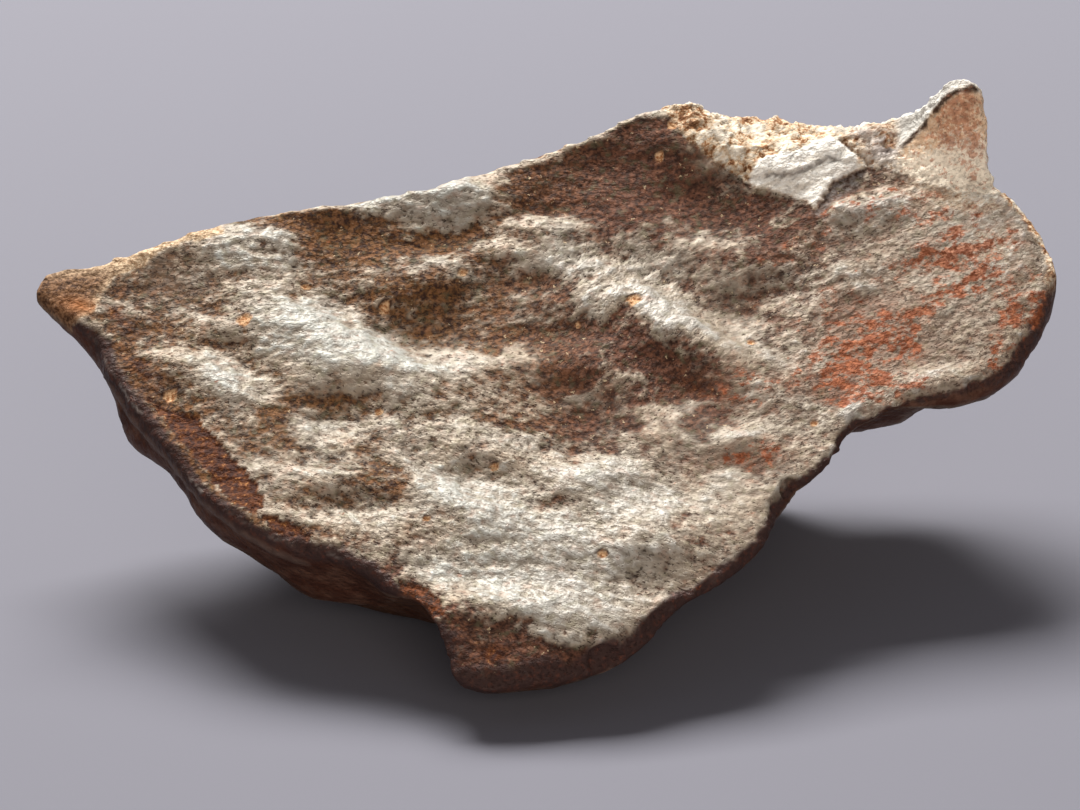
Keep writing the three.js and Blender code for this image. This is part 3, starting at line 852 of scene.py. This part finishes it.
# the crust's finish
crust = {
    # the darkest crust; where it fills the pits it is partly dirt and partly painted shade
    "pit": (0.038, 0.0175, 0.012),
    "brown": (0.124, 0.053, 0.032),
    "goldBrown": (0.180, 0.086, 0.033),      # on the left half
    "grain": (0.185, 0.088, 0.050),
    "grey": (0.284, 0.254, 0.213),
    "warmGrey": (0.292, 0.234, 0.174),
    "coolPit": (0.030, 0.022, 0.018),
    "coolBrown": (0.100, 0.064, 0.042),
    "coolGrain": (0.175, 0.125, 0.080),
    # pale polished crust, its colour partly a painted sheen in place of the lamp's reflection
    "polishedSheen": (0.368, 0.350, 0.320),
    "coolPolishedSheen": (0.348, 0.348, 0.323),   # on the left half
    "weathered": (0.27, 0.205, 0.160),
    "speck": (0.42, 0.32, 0.20),
    "rosy": (0.30, 0.135, 0.080),
    "olive": (0.17, 0.155, 0.085),
    "rustDark": (0.19, 0.050, 0.018),
    "rust": (0.34, 0.108, 0.044),
    "pinkRust": (0.44, 0.20, 0.12),
    "darkEmber": (0.040, 0.013, 0.008),
    "ember": (0.112, 0.036, 0.012),
    "emberGrain": (0.42, 0.19, 0.065),
    "orange": (0.165, 0.052, 0.018),
    # the grey hollow beside the facet: pale stone drawn darker as painted shade
    "hollow": (0.165, 0.148, 0.138),
    # the painted highlight along the lower left rim
    "edgeHighlight": (0.20, 0.17, 0.155),
    "spotDark": (0.34, 0.14, 0.050),
    "spot": (0.72, 0.47, 0.27),
    "wall": (0.058, 0.021, 0.013),
    "palerWall": (0.105, 0.051, 0.034),
    # a painted highlight along the ledge on the left wall
    "ledge": (0.11, 0.070, 0.055),
    # the dark band on the lower rim, partly painted shade
    "band": (0.044, 0.024, 0.021),
    "bandGrain": (0.100, 0.036, 0.024),
    "streak": (0.150, 0.120, 0.095),
    "speckCells": 1.9,           # per mm
    "speckBend": (3.5, 0.9),     # how fine and how far the cells are bent
    "speckReach": 0.34,
    "rustFlow": (24, 1.4),       # turn in degrees and stretch of the rust
    "polish": (0.75, 0.50),      # roughness of dull brown and of polished crust
    "gloss": 0.12,               # reflection of the dull crust
    "metal": 0.14,               # metallic sheen of the polished crust
    "bump": 0.00043,             # metres
}

inside = {
    "white": (0.77, 0.70, 0.59),
    "cream": (0.64, 0.495, 0.345),
    "tan": (0.34, 0.165, 0.070),
    "darkTan": (0.15, 0.062, 0.026),
    "gap": (0.055, 0.030, 0.018),
    "facet": (0.86, 0.855, 0.82),
    "facetStain": (0.66, 0.57, 0.45),
    "layer": (0.62, 0.58, 0.52),
    "layerStretch": 7,
    "hornTop": (0.60, 0.585, 0.545),
    # the horn's front in tan and cream brighter than the rest of the broken stone: painted light on a face
    # the lamps leave in shade
    "hornTan": (0.84, 0.60, 0.40),
    "hornCream": (1.0, 0.90, 0.74),
    "hornRed": (0.52, 0.190, 0.095),
    "bandDark": (0.29, 0.18, 0.10),
    "bandPale": (0.70, 0.54, 0.37),
    "knobDark": (0.050, 0.023, 0.012),
    "knobPale": (0.24, 0.132, 0.070),
    "tipOrange": (0.33, 0.125, 0.040),
    "dirt": (0.15, 0.09, 0.055),
    "dust": (0.26, 0.205, 0.150),
    "ashen": (0.50, 0.45, 0.43),
}

# how bare of dull brown the crust is: what the noises and stains add to a start; creases and ground turned
# down the slope are made duller and darker as painted shade, and the pale patches paler, partly as painted
# sheen
polishing = {
    "start": -0.33,
    "shares": {
        "wrinkle": 0.9,
        "blotch": 0.66,
        "creaseShade": -3.5,
        "pitted": 0.20,
        "slopeShade": -0.25,
        "brown": -0.6,
        "pale": 0.45,
        "back": -0.5,
    },
}

# noises in the colours: size in mm, detail, roughness
colourNoises = {
    "tint": (0.45, 3.0, 0.6),
    "hue": (0.9, 2.0, 0.5),
    "spot": (0.3, 3.0, 0.6),
    "chunk": (0.6, 3.0, 0.7),
    "mealy": (0.36, 3.0, 0.7),
    "dirt": (2.4, 5.0, 0.7),
    "redGrains": (0.6, 4.0, 0.7),
    "layers": (0.8, 3.0, 0.6),
    "rust": (1.1, 4.0, 0.7),
}

# the same, drawn out along the flow of the crust: size, stretch, detail, roughness
flowingColours = {
    "wrinkle": (0.6, 1.25, 2.0, 0.5),
    "pitted": (0.25, 1.7, 2.0, 0.65),
    "blotch": (1.5, 1.45, 4.0, 0.65),
}

# where a colour starts and where it is whole, in the values of the noise that it follows
ramps = {
    "pitted": (0.35, 0.45),
    "polish": (0.15, 0.7),
    "polishedSheen": (0.65, 1.15),
    "brown": (0.35, 0.65),
    "grain": (0.60, 0.75),
    "speck": (0.52, 1.15),
    "speckEdge": (0.0, 0.08),
    "streak": (0.54, 0.40),
    "rosy": (0.53, 0.75),
    "olive": (0.47, 0.28),
    "ember": (0.40, 0.60),
    "emberGrain": (0.60, 0.74),
    "palerWall": (0.40, 0.66),
    "bandGrain": (0.48, 0.80),
    "orange": (0.36, 0.62),
    "spot": (0.36, 0.62),
    "tan": (-0.1, 0.15),
    "cream": (0.12, 0.38),
    "white": (0.42, 0.75),
    "mealy": (0.36, 0.64),
    "dirt": (0.72, 0.40),
    "ashen": (0.0, 0.4),
    "horn": (0.3, 1.0),
    "redGrains": (0.55, 0.67),
    "layers": (0.60, 0.32),
    "rustWash": (0.38, 0.62),
    "rust": (0.65, 0.78),
    "rustTint": (0.44, 0.64),
}

# how strongly each thing shows
strengths = {
    "streak": 0.42,
    "rosy": 0.22,
    "olive": 0.3,
    "pits": 0.68,              # in dull crust
    "pitsPolished": -0.42,     # and what polish takes from them
    "wallBack": -0.45,         # what the back takes from the dark of the walls
    "chunkNoise": 0.9,
    "chunkStart": -0.45,
    "grains": 0.4,
    "tan": -0.45,
    "stainStart": 0.2,
    "tipOrange": 0.8,
    "dust": 0.55,
    "dirt": 0.9,
    "hornGrains": 0.6,
    "hornRust": 0.16,
    "hornRed": 0.65,
    "facetStain": 0.3,
    "rustSpread": 0.24,        # how far the rust reaches where its patches are
    "rustWash": 0.5,
    "rust": 0.9,
    "weatheredDull": 0.6,
    "pitBump": 0.20,
    "polishedBump": -0.44,     # what polish takes from the bumps
}


def addNode(tree, kind, inputs=(), **settings):
    # an input is a number, a colour, another node's output or the name of a saved attribute
    made = tree.nodes.new(kind)
    for key, value in settings.items():
        setattr(made, key, value)
    for key, value in dict(inputs).items():
        if isinstance(value, str):
            value = addNode(tree, "ShaderNodeAttribute", attribute_name=value).outputs["Fac"]
        if isinstance(value, bpy.types.NodeSocket):
            tree.links.new(value, made.inputs[key])
        else:
            made.inputs[key].default_value = value
    return made


def withAlpha(colour):
    return (*colour, 1) if isinstance(colour, tuple) else colour


def mixColours(tree, share, first, second):
    inputs = {"Factor": share, 6: withAlpha(first), 7: withAlpha(second)}     # the colour sockets
    return addNode(tree, "ShaderNodeMix", inputs, data_type="RGBA").outputs[2]


def mixNumbers(tree, share, first, second):
    inputs = {"Factor": share, 2: first, 3: second}
    return addNode(tree, "ShaderNodeMix", inputs, data_type="FLOAT").outputs[0]


def calculate(tree, operation, a, b=0.0, c=0.0):
    return addNode(tree, "ShaderNodeMath", {0: a, 1: b, 2: c}, operation=operation).outputs[0]


def times(tree, a, b):
    return calculate(tree, "MULTIPLY", a, b)


def timesPlus(tree, a, b, c):
    return calculate(tree, "MULTIPLY_ADD", a, b, c)


def without(tree, a):
    return calculate(tree, "SUBTRACT", 1.0, a)


def largest(tree, first, *others):
    for other in others:
        first = calculate(tree, "MAXIMUM", first, other)
    return first


def ramp(tree, name, value):
    low, high = ramps[name]
    made = addNode(tree, "ShaderNodeMapRange", {"Value": value, "From Min": low, "From Max": high})
    made.interpolation_type = "SMOOTHSTEP"
    return made.outputs["Result"]


def turnNode(tree, vector, axis, angle):
    inputs = {"Vector": vector, "Angle": angle}
    return addNode(tree, "ShaderNodeVectorRotate", inputs, rotation_type=axis).outputs[0]


def stoneCoordinates(tree, turn=0.0, stretch=1.0):
    # millimetres along the face, turned and squeezed so that a noise is drawn out along the flow
    position = addNode(tree, "ShaderNodeTexCoord").outputs["Object"]
    upright = turnNode(tree, position, "X_AXIS", -face["lean"])
    onFlow = turnNode(tree, upright, "Z_AXIS", -math.radians(turn))
    inputs = {0: onFlow, 1: (1 / mm / stretch, 1 / mm, 1 / mm)}
    return addNode(tree, "ShaderNodeVectorMath", inputs, operation="MULTIPLY").outputs[0]


def noiseNode(tree, vector, size, detail, roughness):
    inputs = {"Vector": vector, "Scale": 1 / size, "Detail": detail, "Roughness": roughness}
    return addNode(tree, "ShaderNodeTexNoise", inputs).outputs[0]


def colourNoise(tree, name, vector):
    return noiseNode(tree, vector, *colourNoises[name])


def flowingNoise(tree, name):
    size, stretch, detail, roughness = flowingColours[name]
    value = None
    for k, flow in enumerate(flows):
        other = noiseNode(tree, stoneCoordinates(tree, flow[3], stretch), size, detail, roughness)
        value = mixNumbers(tree, f"flow{k}", value, other) if k else other
    return value


def specks(tree, plain):
    # small bright grains of uneven size, one in some of the cells
    fineness, bend = crust["speckBend"]
    bent = addNode(tree, "ShaderNodeTexNoise", {"Vector": plain, "Scale": fineness})
    inputs = {0: bent.outputs["Color"], 1: (bend, bend, bend), 2: plain}
    bent = addNode(tree, "ShaderNodeVectorMath", inputs, operation="MULTIPLY_ADD").outputs[0]
    cells = addNode(tree, "ShaderNodeTexVoronoi", {"Vector": bent, "Scale": crust["speckCells"]})
    chance = addNode(tree, "ShaderNodeSeparateColor", {"Color": cells.outputs["Color"]}).outputs[0]
    reach = times(tree, ramp(tree, "speck", chance), crust["speckReach"])
    return ramp(tree, "speckEdge", calculate(tree, "SUBTRACT", reach, cells.outputs["Distance"]))


def dullColour(tree, plain, tint, pit):
    # dull crust, from its pits to its grains
    brown = mixColours(tree, "golden", crust["brown"], crust["goldBrown"])
    brown = mixColours(tree, "warm", crust["coolBrown"], brown)
    brown = mixColours(tree, ramp(tree, "brown", tint), pit, brown)
    grain = mixColours(tree, "warm", crust["coolGrain"], crust["grain"])
    brown = mixColours(tree, ramp(tree, "grain", tint), brown, grain)
    brown = mixColours(tree, specks(tree, plain), brown, crust["speck"])
    return mixColours(tree, "weathered", brown, crust["weathered"])


def crustColour(tree, plain, noises):
    # the colour of the crust and how polished it is
    tint = noises["tint"]
    bare = polishing["start"]
    for name, share in polishing["shares"].items():
        bare = timesPlus(tree, noises.get(name, name), share, bare)     # a noise, or else a stain
    polish = ramp(tree, "polish", bare)
    pit = mixColours(tree, "warm", crust["coolPit"], crust["pit"])
    dull = dullColour(tree, plain, tint, pit)
    grey = mixColours(tree, "warm", crust["grey"], crust["warmGrey"])
    colour = mixColours(tree, polish, dull, grey)
    polishedSheen = mixColours(tree, "left", crust["polishedSheen"], crust["coolPolishedSheen"])
    colour = mixColours(tree, ramp(tree, "polishedSheen", bare), colour, polishedSheen)

    # streaks, shifts of hue and pits all over it; the dark of the pits is partly dirt and partly painted
    # shade
    streaks = times(tree, ramp(tree, "streak", noises["wrinkle"]), strengths["streak"])
    colour = mixColours(tree, times(tree, streaks, polish), colour, crust["streak"])
    hue = colourNoise(tree, "hue", plain)
    for name in ("rosy", "olive"):
        share = times(tree, ramp(tree, name, hue), strengths[name])
        colour = mixColours(tree, share, colour, crust[name])
    pits = timesPlus(tree, polish, strengths["pitsPolished"], strengths["pits"])
    colour = mixColours(tree, times(tree, pits, without(tree, noises["pitted"])), colour, pit)

    # the places with a colour of their own, and painted light: shade in the grey hollow, partly in the dark
    # band and in the rings over the spots, and a highlight on the pale edge line and the ledge
    hollow = times(tree, "hollow", ramp(tree, "brown", tint))
    colour = mixColours(tree, hollow, colour, crust["hollow"])
    ember = mixColours(tree, ramp(tree, "ember", tint), crust["darkEmber"], crust["ember"])
    ember = mixColours(tree, ramp(tree, "emberGrain", tint), ember, crust["emberGrain"])
    colour = mixColours(tree, "ember", colour, ember)
    paler = ramp(tree, "palerWall", noises["blotch"])
    wall = mixColours(tree, paler, crust["wall"], crust["palerWall"])
    wall = mixColours(tree, "ledge", wall, crust["ledge"])
    wallShare = times(tree, "wall", timesPlus(tree, "back", strengths["wallBack"], 1.0))
    colour = mixColours(tree, wallShare, colour, wall)
    band = mixColours(tree, ramp(tree, "bandGrain", tint), crust["band"], crust["bandGrain"])
    orange = mixColours(tree, ramp(tree, "orange", tint), crust["pit"], crust["orange"])
    spotGrain = ramp(tree, "spot", colourNoise(tree, "spot", plain))
    spot = mixColours(tree, spotGrain, crust["spotDark"], crust["spot"])
    own = {"band": band, "orange": orange, "edgeHighlight": crust["edgeHighlight"], "spotShadow": crust["pit"],
           "spotted": spot}
    for name, ownColour in own.items():
        colour = mixColours(tree, name, colour, ownColour)
    return colour, times(tree, polish, without(tree, "ember"))


def insideColour(tree, plain):
    # the colour of the stone where the crust is gone: cream chunks stained tan
    chunk = colourNoise(tree, "chunk", plain)
    chunk = timesPlus(tree, chunk, strengths["chunkNoise"], strengths["chunkStart"])
    chunk = calculate(tree, "ADD", chunk, "chunk")
    grains = ramp(tree, "mealy", colourNoise(tree, "mealy", plain))
    stained = timesPlus(tree, grains, strengths["grains"], chunk)
    stained = timesPlus(tree, "tan", strengths["tan"], stained)
    stained = calculate(tree, "SUBTRACT", stained, strengths["stainStart"])
    colour = inside["darkTan"]
    for name in ("tan", "cream", "white"):
        colour = mixColours(tree, ramp(tree, name, stained), colour, inside[name])

    # the broken left tip, with a darker knob
    dark = mixColours(tree, "knob", inside["bandDark"], inside["knobDark"])
    pale = mixColours(tree, "knob", inside["bandPale"], inside["knobPale"])
    tip = mixColours(tree, grains, dark, pale)
    tip = mixColours(tree, times(tree, "tan", strengths["tipOrange"]), tip, inside["tipOrange"])
    colour = mixColours(tree, "tip", colour, tip)

    # dust and dirt behind the rim, and grey stains
    dirt = times(tree, "dirty", ramp(tree, "dirt", colourNoise(tree, "dirt", plain)))
    colour = mixColours(tree, times(tree, "dirty", strengths["dust"]), colour, inside["dust"])
    colour = mixColours(tree, times(tree, dirt, strengths["dirt"]), colour, inside["dirt"])
    ashen = times(tree, "ashen", ramp(tree, "ashen", chunk))
    colour = mixColours(tree, ashen, colour, inside["ashen"])

    # the horn, with a painted shadow under its ridge and its front in colours brightened as painted light,
    # the smooth pale facet and the gaps
    horn = ramp(tree, "horn", timesPlus(tree, grains, strengths["hornGrains"], "hornBase"))
    horn = mixColours(tree, horn, inside["hornTan"], inside["hornCream"])
    redGrains = timesPlus(tree, "rust", strengths["hornRust"], colourNoise(tree, "redGrains", plain))
    redShare = times(tree, ramp(tree, "redGrains", redGrains), strengths["hornRed"])
    horn = mixColours(tree, redShare, horn, inside["hornRed"])
    colour = mixColours(tree, "hornFront", colour, horn)
    layered = stoneCoordinates(tree, relief["layerTurn"], inside["layerStretch"])
    layers = ramp(tree, "layers", colourNoise(tree, "layers", layered))
    facet = mixColours(tree, layers, inside["facet"], inside["layer"])
    facet = mixColours(tree, times(tree, grains, strengths["facetStain"]), facet, inside["facetStain"])
    colour = mixColours(tree, "facet", colour, facet)
    colour = mixColours(tree, "hornTop", colour, inside["hornTop"])
    for name in ("gap", "hornLine"):
        colour = mixColours(tree, name, colour, inside["gap"])
    return colour


def crustMaterial():
    made = bpy.data.materials.new("fusionCrust")
    made.use_nodes = True
    tree = made.node_tree
    tree.nodes.clear()
    plain = stoneCoordinates(tree)
    noises = {name: flowingNoise(tree, name) for name in flowingColours}
    noises["pitted"] = ramp(tree, "pitted", noises["pitted"])     # 0 in a pit
    noises["tint"] = colourNoise(tree, "tint", plain)
    colour, polish = crustColour(tree, plain, noises)
    # broken stone, worn places and the painted highlight along the top rim take the stone's colours
    broken = largest(tree, "corner", "tip", "worn")
    colour = mixColours(tree, broken, colour, insideColour(tree, plain))

    # orange rust, in a thin wash and in streaks
    stain = colourNoise(tree, "rust", stoneCoordinates(tree, *crust["rustFlow"]))
    wash = times(tree, times(tree, ramp(tree, "rustWash", stain), "rust"), strengths["rustWash"])
    colour = mixColours(tree, wash, colour, crust["rosy"])
    rusted = timesPlus(tree, "rust", strengths["rustSpread"], stain)
    rusted = times(tree, ramp(tree, "rust", rusted), strengths["rust"])
    rusted = times(tree, rusted, without(tree, "hornFront"))
    rust = mixColours(tree, "pale", crust["rust"], crust["pinkRust"])
    rust = mixColours(tree, ramp(tree, "rustTint", noises["tint"]), crust["rustDark"], rust)
    colour = mixColours(tree, rusted, colour, rust)

    # what is broken, rusty or weathered has no polish
    weathered = times(tree, "weathered", strengths["weatheredDull"])
    dulled = largest(tree, broken, rusted, "spotted", weathered)
    polish = times(tree, polish, without(tree, dulled))
    height = timesPlus(tree, noises["pitted"], strengths["pitBump"], noises["wrinkle"])
    polishedWell = calculate(tree, "POWER", polish, 2.0)
    bump = addNode(tree, "ShaderNodeBump", {
        "Strength": timesPlus(tree, polishedWell, strengths["polishedBump"], 1.0),
        "Distance": crust["bump"],
        "Height": height,
    })
    shader = addNode(tree, "ShaderNodeBsdfPrincipled", {
        "Base Color": colour,
        "Roughness": mixNumbers(tree, polish, *crust["polish"]),
        "Normal": bump.outputs[0],
        "Metallic": times(tree, polish, crust["metal"]),
        "Specular IOR Level": crust["gloss"],
    })
    addNode(tree, "ShaderNodeOutputMaterial", {"Surface": shader.outputs[0]})
    print("crust: material of", len(tree.nodes), "nodes")
    return made


def makeStone():
    stone = fineStone()
    ground, kinds = shapeRelief(stone)
    paintStains(stone.data, ground, kinds)
    stone.data.materials.clear()
    stone.data.materials.append(crustMaterial())
    smoothShading(stone.data)
    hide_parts("meteorite")
    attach(stone, "root")


# the studio, in metres but for the camera
studio = {
    "cameraAt": (-0.62, -275.75, 138.89),     # mm
    "cameraPitch": 66,                        # degrees from straight down
    "lens": 119.03,
    "sensor": 36,
    "nearest": 0.01,                          # nothing nearer to the camera is drawn
    "floorReach": 1.6,                        # to the foot of the sweep
    "sweep": 0.5,                             # its radius
    "sweepSteps": 10,
    "floorSides": 64,
    "mergeWithin": 1e-5,
    "floorColour": (0.138, 0.139, 0.170),
    "floorRoughness": 0.9,
    "aimHeight": 0.015,                       # the lamps point here, above the middle of the ground
    "roomColour": (0.80, 0.82, 0.90),
    "roomStrength": 0.18,
}

# a soft lamp behind the stone, and a weak warm one in front
lamps = {
    "keyLight": {
        "from": (-0.18, 0.60, 0.78),
        "distance": 1.1,
        "size": (0.62, 0.48),
        "power": 34,
        "colour": (1.0, 0.97, 0.92),
    },
    "fillLight": {
        "from": (0.1, -0.9, 0.35),
        "distance": 0.9,
        "size": (0.7, 0.5),
        "power": 4.6,
        "colour": (1.0, 0.87, 0.74),
    },
}


def makeCamera():
    camera = bpy.data.objects.new("camera", bpy.data.cameras.new("camera"))
    bpy.context.scene.collection.objects.link(camera)
    camera.location = Vector(studio["cameraAt"]) * mm
    camera.rotation_euler = (math.radians(studio["cameraPitch"]), 0, 0)
    camera.data.lens = studio["lens"]
    camera.data.sensor_width = studio["sensor"]
    camera.data.clip_start = studio["nearest"]
    bpy.context.scene.camera = camera


def floorPaper():
    paper = bpy.data.materials.new("floorPaper")
    paper.use_nodes = True
    shader = paper.node_tree.nodes["Principled BSDF"]
    shader.inputs["Base Color"].default_value = (*studio["floorColour"], 1)
    shader.inputs["Roughness"].default_value = studio["floorRoughness"]
    return paper


def makeFloor():
    # a round floor that sweeps up to a rim, so that every side view has the same ground
    shape = bmesh.new()
    reach, sweep = studio["floorReach"], studio["sweep"]
    shape.verts.new((0, 0, 0))
    for a in np.linspace(0, math.pi / 2, studio["sweepSteps"]):
        shape.verts.new((reach + sweep * math.sin(a), 0, sweep - sweep * math.cos(a)))
    shape.verts.ensure_lookup_table()
    for first, second in zip(shape.verts[:-1], shape.verts[1:]):
        shape.edges.new((first, second))
    bmesh.ops.spin(shape, geom=shape.verts[:] + shape.edges[:], cent=(0, 0, 0), axis=(0, 0, 1),
                   angle=2 * math.pi, steps=studio["floorSides"], use_merge=True)
    bmesh.ops.remove_doubles(shape, verts=shape.verts[:], dist=studio["mergeWithin"])
    mesh = bpy.data.meshes.new("floor")
    shape.to_mesh(mesh)
    shape.free()
    smoothShading(mesh)
    mesh.materials.append(floorPaper())
    floor = bpy.data.objects.new("floor", mesh)
    bpy.context.scene.collection.objects.link(floor)


def makeLamp(name, lamp):
    light = bpy.data.objects.new(name, bpy.data.lights.new(name, "AREA"))
    bpy.context.scene.collection.objects.link(light)
    light.data.shape = "RECTANGLE"
    light.data.size, light.data.size_y = lamp["size"]
    light.data.energy = lamp["power"]
    light.data.color = lamp["colour"]
    way = Vector(lamp["from"]).normalized()
    light.location = way * lamp["distance"] + Vector((0, 0, studio["aimHeight"]))
    light.rotation_euler = way.to_track_quat("Z", "Y").to_euler()


def makeStudio():
    makeFloor()
    for name, lamp in lamps.items():
        makeLamp(name, lamp)
    world = bpy.data.worlds.new("room")
    world.use_nodes = True
    background = world.node_tree.nodes["Background"]
    background.inputs["Color"].default_value = (*studio["roomColour"], 1)
    background.inputs["Strength"].default_value = studio["roomStrength"]
    bpy.context.scene.world = world
    bpy.context.scene.view_settings.view_transform = "Standard"
    print("studio: floor, lamps and room are in place")


makeCamera()
makeStone()
makeStudio()
